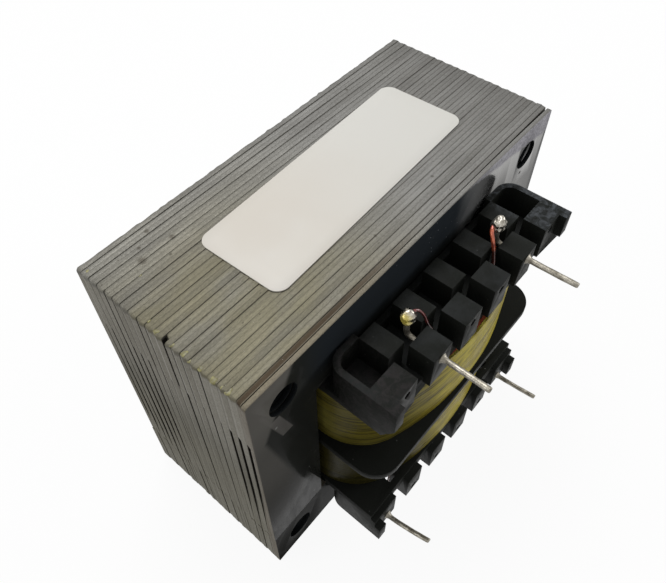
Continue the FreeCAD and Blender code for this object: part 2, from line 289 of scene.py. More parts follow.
@dataclass(frozen=True)
class CutEdges(Finish):
    """Sheared steel edges: long grain, one tone to each sheet, varnish at the left end."""

    name: str = "cut_steel_edges"
    bare: tuple[Shade, Shade] = ((0.122, 0.118, 0.109), (0.225, 0.222, 0.21))
    olive: tuple[Shade, Shade] = ((0.105, 0.096, 0.066), (0.158, 0.144, 0.094))
    pale: tuple[Shade, Shade] = ((0.21, 0.195, 0.158), (0.35, 0.332, 0.285))
    dull: Shade = (0.12, 0.098, 0.075)
    brown: Shade = (0.036, 0.024, 0.014)
    seam_painted_shade: Shade = (0.03, 0.025, 0.018)
    dirt_shade: Shade = (0.045, 0.038, 0.028)
    hole_painted_shade: Shade = (0.013, 0.015, 0.016)
    recess_painted_shade: Shade = (0.012, 0.011, 0.01)
    glint_shade: Shade = (0.5, 0.49, 0.46)
    stains: tuple = ((-19.4, 6.96, 0.42), (-15.7, 7.1, 0.3), (-16.8, 9.5, 0.26), (-18.6, 8.4, 0.2),
                     (-17.2, 5.6, 0.16), (6.6, -6.9, 0.18), (-3.4, -7.4, 0.16), (12.2, 8.9, 0.18))

    def paint(self, g: Graph) -> None:
        """Builds the finish's nodes."""
        along = (g.y - FRONT) / PITCH
        pair = g.math("FLOOR", along)
        part = along - pair
        second = g.math("GREATER_THAN", part, 0.49)
        tone = g.add("ShaderNodeTexWhiteNoise", noise_dimensions="1D")
        g.feed(tone.inputs["W"], pair * 2 + second)
        grain = g.noise((0.22, 7.0, 1.6), 4, 0.6)
        grit = g.noise((3.6, 6.5, 3.2), 3, 0.7, shift=4)
        patches = g.noise((0.16, 0.3, 0.16), 2, 0.5, shift=9)
        value = Value(g, tone.outputs["Value"]) * 0.14 + grain * 0.34 + grit * 0.62 + patches * 0.3
        lit, upright = value.span(0.42, 1.02), g.z.span(39.7, 39.2)
        colour = self.varnished(g, patches, upright).mix(lit.mix(*self.bare), lit.mix(*self.olive))
        # Painted light: the end faces are painted paler towards the top.
        high = upright * g.z.span(22, 34)
        first = g.y.span(-9.5, -9.9) * g.x.span(2, -10)
        foot = g.x.span(2, -14) * g.y.span(-9.5, -9.84) * g.y.span(-10.16, -10.06) * g.z.span(39.3, 39.7)
        # Painted shade: the recessed ends of the leaning left legs are painted dark.
        inside = (g.x.span(-23.87, -23.66) * g.x.span(-22, -22.8) * second * g.z.span(8, 9)
                  * g.z.span(32.1, 31.9))
        glint = g.cells((1.6, 2.4, 1.6), 7).span(0.07, 0.02)
        colour = g.layers(colour, (high * 0.6, lit.mix(*self.pale)), (first * 0.45, self.dull),
                          (foot * 0.85, self.brown),
                          # Painted shade: the seams darken the gaps between sheets.
                          (self.shaded_seams(g, part, patches, grain, upright), self.seam_painted_shade),
                          # Painted shade: the walls of the fixing holes are painted dark.
                          (self.dirt(g) * 0.75, self.dirt_shade), (self.in_hole(g), self.hole_painted_shade),
                          (inside * 0.94, self.recess_painted_shade), (glint * 0.5, self.glint_shade))
        g.shade(colour, value.span(0.35, 1.0, 0.62, 0.44), Normal=g.bump(grain, 0.02, g.bump(grit, 0.022)),
                Metallic=0.5, Specular_Tint=(0.3, 0.3, 0.3), Specular_IOR_Level=0.2)

    @staticmethod
    def varnished(g: Graph, patches: Value, upright: Value) -> Value:
        """Where olive varnish lies: on top at the left, and on the ends further down."""
        on_top = g.x.span(6, -14) * g.y.span(10.5, 1, 0.3) * patches.span(0.25, 0.6, 0.6) * (1 - upright)
        return on_top * 0.9 | upright * g.z.span(38, 14, 0.35) * 0.75

    @staticmethod
    def shaded_seams(g: Graph, part: Value, patches: Value, grain: Value, upright: Value) -> Value:
        """Painted shade in the gaps: dark lines between pairs of sheets, and at the right-hand end inside
        each pair.
        """
        at_pair, at_sheet = abs(part - 0.5).span(0.42, 0.48), abs(part - 0.499).span(0.075, 0.015)
        right_end = (g.x + patches * 6).span(10, 17)
        seam = at_pair * (1 - right_end) + at_sheet * right_end
        depth = g.x.span(-14, 12, 0.2, 0.62) | upright * 0.42
        return seam * depth * grain.span(0.3, 0.7, 0.6) | (at_pair | at_sheet) * 0.14

    def dirt(self, g: Graph) -> Value:
        """Specks of dirt, and the stains on top."""
        dirt = g.cells((0.9, 1.5, 0.9), 2).span(0.14, 0.03) * g.noise(0.3, 2, 0.5, shift=6).span(0.46, 0.62)
        for x, y, radius in self.stains:
            dirt |= g.spot((x, y, HEIGHT), radius * 1.5, 0.8) * 0.9
        return dirt

    @staticmethod
    def in_hole(g: Graph) -> Value:
        """1 on the walls of the four fixing holes, which are painted dark as painted shade."""
        x = abs(g.x) - (WIDTH / 2 - HOLE_EDGE)
        z = abs(g.z - HEIGHT / 2) - (HEIGHT / 2 - HOLE_EDGE)
        return (x * x + z * z).span(3.7, 3.5)


@dataclass(frozen=True)
class RolledFace(Finish):
    """The broad face of a sheet: dark and glossy, paler towards its bent right-hand end; the dark, the pale
    end and the slanting line down the left leg are painted reflection.
    """

    name: str = "rolled_steel_face"
    dark: Shade = (0.03, 0.031, 0.027)
    leg: tuple[Shade, Shade] = ((0.016, 0.0155, 0.013), (0.17, 0.161, 0.143))
    speckled: tuple[Shade, Shade] = ((0.026, 0.031, 0.036), (0.4, 0.42, 0.45))
    pale: Shade = (0.565, 0.562, 0.553)
    scuffed: tuple[Shade, Shade] = ((0.235, 0.23, 0.245), (0.41, 0.402, 0.43))
    patch_shade: Shade = (0.2, 0.187, 0.17)
    ring_shade: Shade = (0.1, 0.1, 0.095)
    scratch_shade: Shade = (0.2, 0.2, 0.19)
    inner_painted_shade: tuple[Shade, Shade] = ((0.027, 0.025, 0.02), (0.1, 0.092, 0.078))
    marks: tuple = (((19.57, -11.0, 33.57), 0.32, 0.03), ((-21.25, -10.75, 32.6), 0.2, 0.42),
                    ((-17.7, -10.75, 17.6), 0.12, 0.3), ((-17.2, -10.75, 9.7), 0.14, 0.3),
                    ((-17.5, -10.75, 17.0), 0.08, 0.3), ((20.1, -11.0, 35.0), 0.16, 0.5))
    ringed_hole: tuple = (-20.0, -10.75, 4.0)

    def paint(self, g: Graph) -> None:
        """Builds the finish's nodes."""
        cloud = g.noise(0.12, 4, 0.6, 0.6)
        smear = g.noise((0.5, 0.5, 0.14), 4, 0.65, 0.4, shift=3)
        fine = g.noise(4.0, 3, 0.6, shift=7)
        ahead = g.y.span(0, -1)
        # Painted reflection: the right-hand end is pale and metallic where it mirrors the bright room;
        # elsewhere the face is painted dark where it mirrors the black bobbin.
        right = (g.x + cloud * 5).span(8, 16) * ahead
        # Painted reflection: the paler side of the slanting line on the left leg, running darker towards the
        # bottom.
        side = self.reflection_side(g) * g.z.span(2, 11, 0.5) * ahead
        upper = g.z.span(33, 36) * g.x.span(-19, -14)
        speck = g.cells(1.3, 8).span(0.1, 0.03) * cloud.span(0.45, 0.6)
        scuff = self.scuff(g, smear) * ahead
        spots = [(g.spot(centre, radius) * 0.85, (grey, grey, grey * 0.95))
                 for centre, radius, grey in self.marks]
        ring = g.spot(self.ringed_hole, 4.6, 0.12) - g.spot(self.ringed_hole, 4.1, 0.15)
        scratch = g.cells((0.3, 0.3, 2.6), 5, "DISTANCE_TO_EDGE").span(0.035, 0) * cloud.span(0.52, 0.66)
        # Painted shade: the sheets' broad faces inside the stack are painted dark, a little paler at the very
        # top.
        inner = g.y.span(-10.62, -10.55) * g.y.span(10.5, 10.4)
        colour = g.layers(side.mix(self.dark, g.z.span(10, 36).mix(*self.leg)),
                          (upper, speck.mix(*self.speckled)), (right, self.pale),
                          (scuff * 0.95, fine.span(0.3, 0.7).mix(*self.scuffed)),
                          (self.patch(g, smear) * ahead * 0.8, self.patch_shade), *spots,
                          (ring * 0.3, self.ring_shade), (scratch * 0.2, self.scratch_shade),
                          (inner * 0.95, g.z.span(39.6, 39.8).mix(*self.inner_painted_shade)))
        g.shade(colour, smear.span(0.3, 0.8, 0.1, 0.24) + scuff * 0.35,
                Normal=g.bump(cloud, 0.04, g.bump(fine, 0.002)), Metallic=(right | scuff * 0.5) * (1 - inner),
                Specular_Tint=(0.2, 0.2, 0.2), Specular_IOR_Level=0.004)

    @staticmethod
    def reflection_side(g: Graph) -> Value:
        """1 on the paler, browner side of the slanting line down the left leg; the line is a painted
        reflection edge, the dark bobbin mirrored on its other side.
        """
        x, z = g.x + 22.43, g.z - 31.11
        side = x * -0.97 + z * -0.242
        high = x * -0.9 + z * 0.436
        return (side | high - 0.3).span(-0.2, 0.5)

    @staticmethod
    def scuff(g: Graph, smear: Value) -> Value:
        """The scuffed wedge under the top edge, which widens to the right."""
        under = g.z + (g.x - 8) * 0.185 + smear * 1.2
        return under.span(40.2, 40.75) * g.x.span(4, 9)

    @staticmethod
    def patch(g: Graph, smear: Value) -> Value:
        """The paler slanting patch below the upper left hole, and its trail."""
        x, z = g.x + 20.66, g.z - 32.1
        across = x * 0.945 + z * 0.327
        patch = abs(across).span(0.72, 0.55) * abs(z).span(2.15, 1.95)
        trail = abs(across + 0.45).span(0.3, 0.1) * z.span(5, 4.4) * z.span(1.6, 2.1)
        return (patch | trail * 0.5) * smear.span(0.25, 0.5, 0.55)


@dataclass(frozen=True)
class BlackPlastic(Finish):
    """Black glass-filled plastic: satin, with grey dust on top and pale scuffs; the dust on up-facing faces
    also paints the sheen of light from above, fading lower down.
    """

    name: str = "dusty_black_plastic"
    base: Shade = (0.0125, 0.0133, 0.0113)
    dust: Shade = (0.034, 0.036, 0.037)
    right_dust: Shade = (0.085, 0.092, 0.1)
    left_dust: Shade = (0.03, 0.027, 0.027)
    speck_shade: Shade = (0.12, 0.12, 0.12)
    nick_shade: Shade = (0.28, 0.28, 0.27)

    def paint(self, g: Graph) -> None:
        """Builds the finish's nodes."""
        cloud = g.noise(0.35, 5, 0.65, 0.3)
        speck = g.noise(5.0, 3, 0.6, shift=3)
        swirl = g.noise(1.1, 4, 0.6, 1.2, shift=8)
        facing = g.split(Value(g, g.add("ShaderNodeNewGeometry").outputs["Normal"]))
        up = facing[2].span(0.3, 0.95)
        # Dust and painted sheen: up-facing faces are painted greyer, less so lower down.
        dust_and_sheen = up * cloud.span(0.38, 0.72, 0.1, 0.55) * g.z.span(20, 34, 0.12)
        right = g.x.span(9.5, 12.5) * swirl.span(0.36, 0.68) * up * g.z.span(33, 35.5)
        left = g.x.span(-9.5, -12.5) * swirl.span(0.4, 0.66) * g.z.span(29, 31)
        nick = g.cells(0.8, 5).span(0.09, 0.03) * cloud.span(0.5, 0.6)
        colour = g.layers(dust_and_sheen.mix(self.base, self.dust), (right * 0.8, self.right_dust),
                          (left * 0.75, self.left_dust), (speck.span(0.62, 0.8, 0, 0.12), self.speck_shade),
                          (nick * 0.5, self.nick_shade))
        g.shade(colour, cloud.span(0.3, 0.7, 0.34, 0.52), Normal=g.bump(swirl, 0.012, g.bump(speck, 0.006)),
                Specular_IOR_Level=0.025)


@dataclass(frozen=True)
class YellowTape(Finish):
    """Yellow polyester tape over wire: glossy, streaked along the turns, with olive depths, and painted shade
    darkening it to the left and at the lower left.
    """

    name: str = "yellow_polyester_tape"
    deep: Shade = (0.105, 0.077, 0.008)
    body: Shade = (0.55, 0.445, 0.047)
    bright: Shade = (0.8, 0.69, 0.14)
    streak: Shade = (0.14, 0.09, 0.03)
    left_painted_shade: Shade = (0.05, 0.046, 0.018)
    lower_painted_shade: Shade = (0.02, 0.018, 0.006)

    def paint(self, g: Graph) -> None:
        """Builds the finish's nodes."""
        turns = g.noise((0.06, 0.06, 2.6), 4, 0.6, 0.15)
        patch = g.noise((0.22, 0.22, 0.3), 3, 0.5, 0.4, shift=5)
        fine = g.noise((0.5, 0.5, 9.0), 2, 0.5, shift=2)
        colour = g.layers(turns.span(0.36, 0.56).mix(self.deep, self.body),
                          # Bright patches: partly the tape's own tone, partly painted highlight.
                          (patch.span(0.45, 0.8, 0, 0.8), self.bright),
                          (fine.span(0.52, 0.72, 0, 0.5), self.streak),
                          # Painted shade: darker towards the left, and lower down at the left.
                          (g.x.span(-2, -11, 0, 0.72), self.left_painted_shade),
                          (g.z.span(21, 18) * g.x.span(0, -9, 0, 0.85), self.lower_painted_shade))
        g.shade(colour, patch.span(0.3, 0.7, 0.26, 0.42), Normal=g.bump(turns, 0.05, g.bump(fine, 0.008)),
                Specular_IOR_Level=0.02)


@dataclass(frozen=True)
class Enamel(Finish):
    """Enamelled copper wire.

    Args:
        name: The material's name.
        colour: The enamel's colour.
        deep: Its darker shade.
        turns_per_mm: Turns of wire to the millimetre, for a whole coil.
        shaded_below: Height under which the wire is painted dark, a painted shadow.
    """

    name: str = "orange_red_enamel"
    colour: Shade = (0.6, 0.13, 0.05)
    deep: Shade = (0.25, 0.035, 0.02)
    turns_per_mm: float = 0.0
    shaded_below: float = 0.0
    dull: Shade = (0.02, 0.008, 0.008)

    def paint(self, g: Graph) -> None:
        """Builds the finish's nodes."""
        blotch = g.noise(1.6, 3, 0.5)
        colour = blotch.span(0.3, 0.7).mix(self.deep, self.colour)
        # Painted shadow: below this height the wire is painted dark.
        if self.shaded_below:
            low = g.z.span(self.shaded_below + 0.3, self.shaded_below - 0.4)
            colour = (low * 0.9).mix(colour, self.dull)
        if self.turns_per_mm:
            normal = g.bump(g.math("SINE", g.z * (2 * math.pi * self.turns_per_mm)), 0.1)
        else:
            normal = g.bump(g.noise(8.0, 2, 0.5, shift=1), 0.004)
        g.shade(colour, blotch.span(0.3, 0.7, 0.28, 0.2), Normal=normal, Metallic=0.35, Coat_Weight=0.6)


@dataclass(frozen=True)
class Tinned(Finish):
    """Dull tinned wire with a slightly lumpy coat."""

    name: str = "dull_tinned_wire"
    bright: Shade = (0.38, 0.355, 0.3)
    dull: Shade = (0.15, 0.135, 0.105)

    def paint(self, g: Graph) -> None:
        """Builds the finish's nodes."""
        coat = g.noise((1.4, 1.1, 1.4), 4, 0.6)
        fine = g.noise((6.0, 4.0, 6.0), 3, 0.6, shift=3)
        g.shade(coat.span(0.34, 0.66).mix(self.dull, self.bright), coat.span(0.3, 0.7, 0.5, 0.34),
                Normal=g.bump(coat, 0.04, g.bump(fine, 0.01)), Metallic=0.75)


@dataclass(frozen=True)
class ShinySolder(Finish):
    """Solder with facets, and flux at its foot.

    Args:
        name: The material's name.
        flux: The flux's colour.
        flux_at: Centre of the flux.
        flux_radius: How far it reaches.
    """

    name: str = "shiny_solder"
    flux: Shade = (0.3, 0.2, 0.06)
    flux_at: tuple = (0.0, -14.6, 36.0)
    flux_radius: float = 1.0
    greys: tuple[Shade, Shade] = ((0.26, 0.24, 0.2), (0.56, 0.53, 0.47))

    def paint(self, g: Graph) -> None:
        """Builds the finish's nodes."""
        skin = g.noise(2.2, 3, 0.55, 0.8)
        flux = g.spot(self.flux_at, self.flux_radius, 0.8)
        g.shade((flux * 0.85).mix(skin.span(0.35, 0.7).mix(*self.greys), self.flux),
                skin.span(0.3, 0.7, 0.16, 0.3), Normal=g.bump(g.cells(2.4, 3), 0.07, g.bump(skin, 0.03)),
                Metallic=flux.span(0.2, 0.8, 1, 0.35))


@dataclass(frozen=True)
class SatinPaper(Finish):
    """Warm white satin paper with faint fibres and handling marks."""

    name: str = "satin_label_paper"
    white: Shade = (0.575, 0.562, 0.522)
    warm: Shade = (0.55, 0.508, 0.445)
    fibre_shade: Shade = (0.45, 0.42, 0.36)
    mark_shade: Shade = (0.4, 0.39, 0.36)

    def paint(self, g: Graph) -> None:
        """Builds the finish's nodes."""
        fibre = g.noise((1.3, 5.5, 3.0), 5, 0.6, 0.4)
        cloud = g.noise((0.1, 0.12, 0.1), 3, 0.5, shift=2)
        corner = g.x.span(12, -13) * cloud.span(0.2, 0.8, 0.5)
        mark = g.cells((0.22, 0.3, 0.2), 4).span(0.05, 0.015)
        colour = g.layers(corner.mix(self.white, self.warm),
                          (fibre.span(0.56, 0.82, 0, 0.1), self.fibre_shade), (mark * 0.22, self.mark_shade))
        g.shade(colour, cloud.span(0.3, 0.7, 0.42, 0.5), Normal=g.bump(fibre, 0.004, g.bump(cloud, 0.06)))


@dataclass(frozen=True)
class Varnish(Finish):
    """Yellow impregnating varnish, dried in drops."""

    name: str = "dried_yellow_varnish"
    ambers: tuple[Shade, Shade] = ((0.095, 0.084, 0.03), (0.245, 0.225, 0.085))

    def paint(self, g: Graph) -> None:
        """Builds the finish's nodes."""
        body = g.noise(1.8, 3, 0.55)
        g.shade(body.span(0.32, 0.68).mix(*self.ambers), body.span(0.3, 0.7, 0.34, 0.5),
                Normal=g.bump(body, 0.03))


class Workpiece:
    """A mesh on the bench, with the tools that shape it.

    Args:
        obj: The object that the tools work on.
        name: Its name from now on.
    """

    def __init__(self, obj: bpy.types.Object, name: str) -> None:
        obj.name = obj.data.name = name
        self.obj = obj

    @staticmethod
    def clear() -> None:
        """Leaves edit mode and deselects everything."""
        if bpy.context.object and bpy.context.object.mode != "OBJECT":
            bpy.ops.object.mode_set(mode="OBJECT")
        bpy.ops.object.select_all(action="DESELECT")

    @classmethod
    def box(cls, name: str, low: Vector, high: Vector) -> "Workpiece":
        """A box between two corners, to be shaped further."""
        cls.clear()
        bpy.ops.mesh.primitive_cube_add(size=1, location=(low + high) / 2)
        piece = cls(bpy.context.active_object, name)
        piece.obj.scale = high - low
        return piece.settle()

    @classmethod
    def disc(cls, name: str, centre: Vector, radius: float, sides: int) -> "Workpiece":
        """A flat disc across Y, to be drawn out into a bar."""
        cls.clear()
        bpy.ops.mesh.primitive_circle_add(vertices=sides, radius=radius, fill_type="NGON",
                                          location=centre, rotation=(math.pi / 2, 0, 0))
        return cls(bpy.context.active_object, name).settle()

    @classmethod
    def ball(cls, name: str, centre: Vector, size: Vector, rings: int) -> "Workpiece":
        """A stretched ball, to be made lumpy."""
        cls.clear()
        bpy.ops.mesh.primitive_uv_sphere_add(segments=2 * rings, ring_count=rings, radius=0.5,
                                             location=centre)
        piece = cls(bpy.context.active_object, name)
        piece.obj.scale = size
        return piece.settle()

    @classmethod
    def linked(cls, name: str, data: bpy.types.ID) -> "Workpiece":
        """A new object around a mesh or curve."""
        obj = bpy.data.objects.new(name, data)
        bpy.context.scene.collection.objects.link(obj)
        return cls(obj, name)

    @classmethod
    def of_node(cls, node: str, name: str) -> "Workpiece":
        """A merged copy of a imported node's mesh, with its flat faces whole."""
        cls.clear()
        piece = cls.linked(name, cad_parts[node].data.copy())
        piece.obj.data.materials.clear()
        piece.grip(Kind.FACES)
        bpy.ops.mesh.remove_doubles(threshold=1e-7)
        bpy.ops.mesh.dissolve_limited(angle_limit=math.radians(1))
        piece.release()
        return piece

    def copy(self, name: str) -> "Workpiece":
        """Another piece with its own mesh."""
        return self.linked(name, self.obj.data.copy())

    def take(self) -> None:
        """Makes this the one selected and active piece."""
        self.clear()
        self.obj.select_set(True)
        bpy.context.view_layer.objects.active = self.obj

    def settle(self) -> "Workpiece":
        """Puts the piece's place, turn and size into its mesh."""
        self.take()
        bpy.ops.object.transform_apply(location=True, rotation=True, scale=True)
        return self

    def grip(self, kind: Kind, test: Test | None = None) -> None:
        """Enters edit mode with the elements that pass the test selected.

        Args:
            kind: What is selected.
            test: Told an element's middle, and its normal or direction. All pass where it is left out.
        """
        self.take()
        mesh = self.obj.data
        if kind is Kind.FACES:
            listed = [(f, f.center.copy(), f.normal.copy()) for f in mesh.polygons]
        else:
            ends = [(e, *(mesh.vertices[k].co for k in e.vertices)) for e in mesh.edges]
            listed = [(e, (p + q) / 2, (q - p).normalized()) for e, p, q in ends]
        picks = [test is None or test(middle, normal) for _, middle, normal in listed]
        for group in (mesh.vertices, mesh.edges, mesh.polygons):
            group.foreach_set("select", [False] * len(group))
        for (element, _, _), pick in zip(listed, picks):
            element.select = pick
        bpy.context.tool_settings.mesh_select_mode = kind.value
        bpy.ops.object.mode_set(mode="EDIT")

    def release(self) -> "Workpiece":
        """Leaves edit mode."""
        bpy.ops.object.mode_set(mode="OBJECT")
        return self

    def slices(self, places: Iterable[float], axis: Sequence[float] = (1, 0, 0)) -> None:
        """Cuts the faces across an axis at each of these places."""
        for place in places:
            self.grip(Kind.FACES)
            bpy.ops.mesh.bisect(plane_co=mm(*axis) * place, plane_no=axis, threshold=1e-8, use_fill=False)
            self.release()

    def remove(self, test: Test) -> "Workpiece":
        """Deletes the faces that pass the test."""
        self.grip(Kind.FACES, test)
        bpy.ops.mesh.delete(type="FACE")
        return self.release()

    def draw_out(self, step: Vector, size: float = 1.0) -> None:
        """Extrudes the selected face by a step, and scales its end."""
        bpy.ops.mesh.extrude_region_move(TRANSFORM_OT_translate={"value": step})
        if size != 1.0:
            bpy.ops.transform.resize(value=(size, size, size))

    def outward(self) -> "Workpiece":
        """Turns all faces outwards."""
        self.grip(Kind.FACES)
        bpy.ops.mesh.normals_make_consistent(inside=False)
        return self.release()

    def modify(self, kind: str, **settings: object) -> "Workpiece":
        """Adds a modifier with these settings and applies it."""
        self.take()
        modifier = self.obj.modifiers.new(kind.lower(), kind)
        for name, value in settings.items():
            setattr(modifier, name, value)
        bpy.ops.object.modifier_apply(modifier=modifier.name)
        return self

    def round_edges(self, width: float, angle: float) -> "Workpiece":
        """Rounds every edge that is sharper than the angle."""
        return self.modify("BEVEL", width=width * MM, segments=2, limit_method="ANGLE",
                           angle_limit=math.radians(angle), harden_normals=False)

    def drill(self, centre: Vector, radius: float, depth: float) -> "Workpiece":
        """Drills a round hole along Y."""
        self.clear()
        bpy.ops.mesh.primitive_cylinder_add(vertices=36, radius=radius * MM, depth=depth * MM,
                                            location=centre, rotation=(math.pi / 2, 0, 0))
        bit = bpy.context.active_object
        self.modify("BOOLEAN", operation="DIFFERENCE", object=bit, solver="EXACT")
        bpy.data.objects.remove(bit)
        return self

    def reshape(self, move: Callable[[Vector], Vector]) -> "Workpiece":
        """Moves every vertex to where the function puts it."""
        for vertex in self.obj.data.vertices:
            vertex.co = move(vertex.co.copy())
        return self

    def smooth(self, angle: float) -> "Workpiece":
        """Smooth shading, with edges sharper than the angle kept."""
        self.take()
        bpy.ops.object.shade_smooth_by_angle(angle=math.radians(angle))
        return self

    def dress(self, slot: Slot, *finishes: Finish, nodes: Iterable[str] = (),
              second: Test | None = None) -> "Workpiece":
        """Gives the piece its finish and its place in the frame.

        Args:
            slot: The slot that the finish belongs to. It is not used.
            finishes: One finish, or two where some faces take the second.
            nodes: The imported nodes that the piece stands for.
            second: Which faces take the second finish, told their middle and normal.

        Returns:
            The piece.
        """
        mesh = self.obj.data
        mesh.materials.clear()
        for finish in finishes:
            mesh.materials.append(finish.material())
        if second is not None:
            for face in mesh.polygons:
                face.material_index = 1 if second(face.center, face.normal) else 0
        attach(self.obj, "root")
        if nodes:
            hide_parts(*nodes)
        log.info("%s: %d faces", self.obj.name, len(mesh.polygons))
        return self


@dataclass
class SheetStack:
    """The core: E sheets and I strips, laid by turns with the yoke up and down.

    Sheets differ a little: each may drift to the right, lift up or down, bow along its length and
    ripple along its edges. Headroom is how far one may stand above the nominal top.
    """

    leg: float = 8.0
    centre: float = 16.0
    swollen: float = 0.5515
    hole_r: float = 1.75
    strip_h: float = 7.9
    strip_z: float = 32.05
    strip_shift: float = 0.12
    strip_back: float = 0.05
    drift: float = 0.08
    lift: float = 0.025
    bow: float = 0.02
    ripple: float = 0.03
    headroom: float = 0.06
    lean_front: float = 0.24
    lean_middle: float = 0.05
    lean_back: float = 0.46
    curl_out: float = 0.15
    curl_length: float = 17.0
    burr: float = 0.017
    corner_r: float = 0.26
    taper: float = 0.13
    taper_length: float = 0.35
    ragged: float = 0.24
    ragged_step: float = 0.5
    front_out: float = 0.04
    step: float = 4.0
    nicked: int = 8
    nick: float = 0.5
    seed: int = 7
    edges: Finish = CutEdges()
    face: Finish = RolledFace()

    def build(self) -> None:
        """Presses E sheets and strips, with worn corners and without, and lays copies of them up."""
        pressed = {(kind, worn): self.press_e(worn) if kind == "e" else self.press_strip(worn)
                   for kind in ("e", "i") for worn in (True, False)}
        over = (Matrix.Translation(mm(0, 0, HEIGHT / 2)) @ Matrix.Rotation(math.pi, 4, "Y")
                @ Matrix.Translation(mm(0, 0, -HEIGHT / 2)))
        chance = random.Random(self.seed)
        for pair in range(PAIRS + 1):
            y, number = FRONT + pair * PITCH, f"{pair:02d}"
            self.lay(pressed["i", False], "i_bottom_" + number, "i_laminations_bottom", y, chance, over)
            if pair == 0:
                self.lay_front(pressed["e", True], over, y)
            else:
                self.lay(pressed["e", True], "e_yoke_up_" + number, "e_laminations_yoke_up", y, chance, over,
                         ragged=self.ragged if pair == PAIRS else 0.0)
            if pair < PAIRS:
                y += self.swollen
                self.lay(pressed["e", False], "e_yoke_down_" + number, "e_laminations_yoke_down", y, chance,
                         lean=self.lean(pair))
                self.lay(pressed["i", True], "i_top_" + number, "i_laminations_top", y, chance,
                         nick=self.nick if pair == self.nicked else 0.0)
        for sheet in pressed.values():
            bpy.data.objects.remove(sheet.obj)

    def press(self, name: str, low_z: float, high_z: float, hole_z: float, left: float, right: float,
              windows: bool, worn: bool) -> Workpiece:
        """A sheet blanked from a flat plate, with its two holes and burrs.

        Args:
            name: The piece's name.
            low_z: Lower edge.
            high_z: Upper edge.
            hole_z: Height of the fixing holes.
            left: Left end.
            right: Right end.
            windows: Whether the two windows of an E are cut.
            worn: Whether its two outer corners are rounded.

        Returns:
            The sheet, its front at y = 0.
        """
        Workpiece.clear()
        middle = mm((left + right) / 2, 0, (low_z + high_z) / 2)
        bpy.ops.mesh.primitive_plane_add(size=1, location=middle, rotation=(math.pi / 2, 0, 0))
        sheet = Workpiece(bpy.context.active_object, name)
        sheet.obj.scale = ((right - left) * MM, (high_z - low_z) * MM, 1)
        sheet.settle()
        half_leg, inner = self.centre / 2, WIDTH / 2 - self.leg
        sheet.slices(-WIDTH / 2 + k * self.step for k in range(1, int(WIDTH / self.step)))
        if windows:
            sheet.slices((self.leg, HEIGHT / 2), (0, 0, 1))
            sheet.remove(lambda c, n: half_leg < abs(c.x) / MM < inner and c.z / MM > self.leg)
        sheet.grip(Kind.FACES)
        sheet.draw_out(mm(0, self.swollen, 0))
        sheet.release().outward()
        for side in (-1, 1):
            hole_x = side * (WIDTH / 2 - HOLE_EDGE)
            sheet.drill(mm(hole_x, THICK / 2, hole_z), self.hole_r, 4 * THICK)
        if worn:
            far, outer = (right - left) / 2 - 0.01, low_z if windows else high_z
            sheet.grip(Kind.EDGES, lambda c, n: abs(n.y) > 0.9 and abs(c.x - middle.x) / MM > far
                       and abs(c.z / MM - outer) < 0.01)
            bpy.ops.mesh.bevel(offset=self.corner_r * MM, segments=3, affect="EDGES")
            sheet.release()
        return sheet.round_edges(self.burr, 50)

    def press_e(self, worn: bool) -> Workpiece:
        """An E with its yoke down."""
        half = WIDTH / 2
        return self.press("pressed_e", 0, HEIGHT - self.leg, HOLE_EDGE, -half, half, True, worn)

    def press_strip(self, worn: bool) -> Workpiece:
        """The strip that closes an E with its yoke down."""
        half, shift = WIDTH / 2, self.strip_shift if worn else 0.0
        return self.press("pressed_i", self.strip_z, self.strip_z + self.strip_h, HEIGHT - HOLE_EDGE,
                          shift - half, shift + half, False, worn)

    def lean(self, pair: int) -> float:
        """How far the left leg's tip leans inwards in this pair."""
        if pair < 3:
            return self.lean_front
        from_back = PAIRS - 1 - pair
        ramp = min(1.0, max(0.0, 1.5 * (1 - from_back / 7)))
        return self.lean_middle + (self.lean_back - self.lean_middle) * ramp

    def curl(self, x: float) -> float:
        """How far the front sheet curls forwards here."""
        along = max(0.0, 1 - (WIDTH / 2 - x) / self.curl_length)
        return self.curl_out * along ** 2

    def lay(self, pressed: Workpiece, name: str, node: str, y: float, chance: random.Random,
            turn: Matrix | None = None, lean: float = 0.0, nick: float = 0.0, ragged: float = 0.0) -> None:
        """Lays a copy of a pressed sheet in the stack, a little out of line as real ones are.

        Args:
            pressed: The sheet that is copied.
            name: The copy's name.
            node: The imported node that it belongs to.
            y: Where its front lies.
            chance: Where the small differences come from.
            turn: Turns it over, where it is given.
            lean: How far the left leg's tip leans inwards.
            nick: How much of the left end is bitten off.
            ragged: How far burrs stand out of its back, along the top.
        """
        sheet = pressed.copy(name)
        if turn is not None:
            sheet.obj.data.transform(turn)
        if ragged:
            steps = int(WIDTH / self.ragged_step)
            sheet.slices(k * self.ragged_step - WIDTH / 2 + 0.07 for k in range(1, steps))
        shift_x, lift = chance.uniform(0.0, self.drift), chance.uniform(-self.lift, self.lift)
        if node == "i_laminations_top":
            shift_x = min(shift_x - self.strip_back, 0.0)
        bow, phase = chance.uniform(-self.bow, self.bow), chance.uniform(0, 50)

